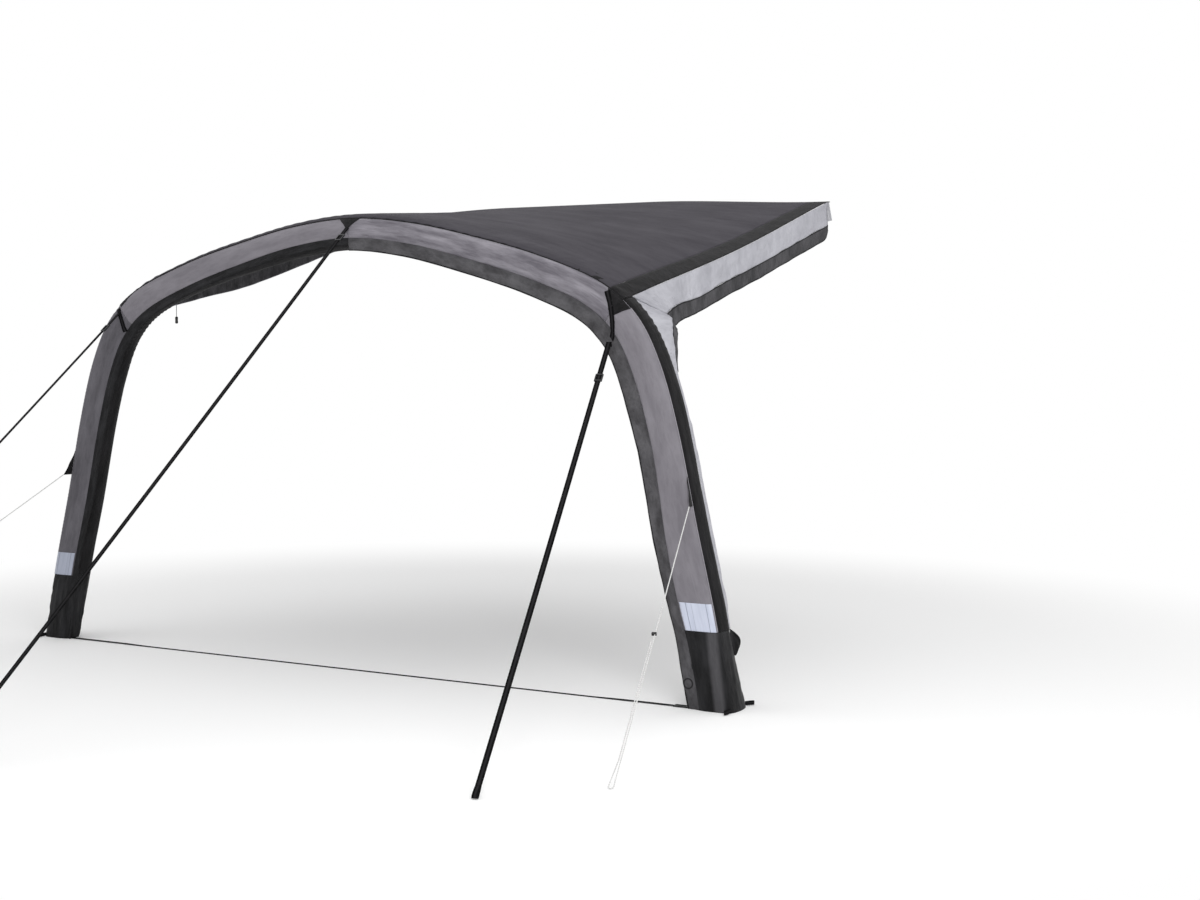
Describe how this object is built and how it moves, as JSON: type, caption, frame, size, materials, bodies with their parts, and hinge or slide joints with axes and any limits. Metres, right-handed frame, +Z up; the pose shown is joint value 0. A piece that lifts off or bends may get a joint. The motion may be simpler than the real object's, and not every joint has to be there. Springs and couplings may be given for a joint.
{
  "type": "caravan awning",
  "caption": "Caravan sun canopy with an inflated front arch, taut roof on a rail bead, side valances, storm straps, guy lines and a ground strap.",
  "frame": {"origin": "on the ground under the middle of the canopy, halfway between the front of the arch and the rail", "axes": "+X along the rail to the right as seen from in front of the arch, +Y from the arch back to the rail, +Z up"},
  "size_m": [4.7084, 4.7757, 2.4423],
  "materials": {
    "grey_cloth": "woven polyester, mid grey with a violet cast, soft lengthwise folds",
    "charcoal_cloth": "woven polyester, charcoal",
    "roof_cloth": "coated polyester, dark grey with a violet cast, matt",
    "black_cloth": "heavy coated polyester, black",
    "light_cloth": "woven polyester, pale blue-grey",
    "reflective": "pale retroreflective tape with fine upright lines",
    "black_webbing": "black polypropylene webbing and cord",
    "light_webbing": "pale grey webbing",
    "light_cord": "white braided cord",
    "black_plastic": "moulded black plastic",
    "bladder_film": "smooth translucent film, hidden inside the sleeve",
    "rail_plastic": "extruded light grey bead"
  },
  "bodies": {
    "awning": {"front_panel_leg_right": "grey_cloth", "front_panel_leg_left": "grey_cloth", "front_panel_beam_right": "grey_cloth", "front_panel_beam_left": "grey_cloth", "sleeve_leg_right": "charcoal_cloth", "sleeve_leg_left": "charcoal_cloth", "sleeve_beam_right": "charcoal_cloth", "sleeve_beam_left": "charcoal_cloth", "front_flap_right": "charcoal_cloth", "front_flap_left": "charcoal_cloth", "side_flap_right": "charcoal_cloth", "side_flap_left": "charcoal_cloth", "roof_panel": "roof_cloth", "boot_right": "black_cloth", "boot_left": "black_cloth", "roof_edge_band_right": "black_cloth", "roof_edge_band_left": "black_cloth", "rail_welt": "black_cloth", "shoulder_patch_right": "black_cloth", "shoulder_patch_left": "black_cloth", "apex_patch": "black_cloth", "guy_tab_right": "black_cloth", "guy_tab_left": "black_cloth", "boot_ear_right": "black_cloth", "boot_ear_left": "black_cloth", "side_valance_right": "light_cloth", "side_valance_left": "light_cloth", "reflective_band_right": "reflective", "reflective_band_left": "reflective", "strap_anchor_right": "black_webbing", "strap_anchor_left": "black_webbing", "storm_strap_right": "black_webbing", "storm_strap_left": "black_webbing", "storm_strap_centre": "black_webbing", "storm_peg_loop_right": "black_webbing", "storm_peg_loop_left": "black_webbing", "storm_peg_loop_centre": "black_webbing", "ground_strap": "black_webbing", "heel_tab_right": "black_webbing", "heel_tab_left": "black_webbing", "toe_loop_right": "black_webbing", "toe_loop_left": "black_webbing", "rail_tail_right": "light_webbing", "rail_tail_left": "light_webbing", "guy_line_right": "light_cord", "guy_line_left": "light_cord", "valve_body": "black_plastic", "air_beam": "bladder_film", "rail_bead": "rail_plastic"},
    "valve_cap": {"valve_cap": "black_plastic"},
    "storm_buckle_right": {"storm_buckle_right": "black_plastic"},
    "storm_buckle_left": {"storm_buckle_left": "black_plastic"},
    "storm_buckle_centre": {"storm_buckle_centre": "black_plastic"},
    "guy_runner_right": {"guy_runner_right": "black_plastic"},
    "guy_runner_left": {"guy_runner_left": "black_plastic"},
    "ground_buckle": {"ground_buckle": "black_plastic"},
    "pull_toggle": {"pull_cord": "black_webbing", "pull_toggle": "black_plastic"}
  },
  "joints": [
    {"name": "valve_cap_turn", "type": "hinge", "parent": "awning", "child": "valve_cap", "pos_m": [1.90505, -1.03809, 0.115], "axis": [-0.9909, -0.1349, 0], "range_deg": [0, 90]},
    {"name": "storm_buckle_right_slide", "type": "slide", "parent": "awning", "child": "storm_buckle_right", "axis": [0.2032, -0.7279, -0.6549], "range_m": [0, 0.15]},
    {"name": "storm_buckle_left_slide", "type": "slide", "parent": "awning", "child": "storm_buckle_left", "axis": [-0.1781, -0.7003, -0.6912], "range_m": [0, 0.15]},
    {"name": "storm_buckle_centre_slide", "type": "slide", "parent": "awning", "child": "storm_buckle_centre", "axis": [0, -0.7543, -0.6565], "range_m": [0, 0.15]},
    {"name": "guy_runner_right_slide", "type": "slide", "parent": "awning", "child": "guy_runner_right", "axis": [0.2506, -0.8161, -0.5207], "range_m": [0, 0.2]},
    {"name": "guy_runner_left_slide", "type": "slide", "parent": "awning", "child": "guy_runner_left", "axis": [-0.2424, -0.8179, -0.5218], "range_m": [0, 0.2]},
    {"name": "ground_buckle_slide", "type": "slide", "parent": "awning", "child": "ground_buckle", "axis": [-1, 0, 0], "range_m": [0, 0.2]},
    {"name": "pull_toggle_swing", "type": "hinge", "parent": "awning", "child": "pull_toggle", "pos_m": [-1.24883, -0.98239, 1.83514], "axis": [1, 0, 0], "range_deg": [-35, 35]}
  ]
}
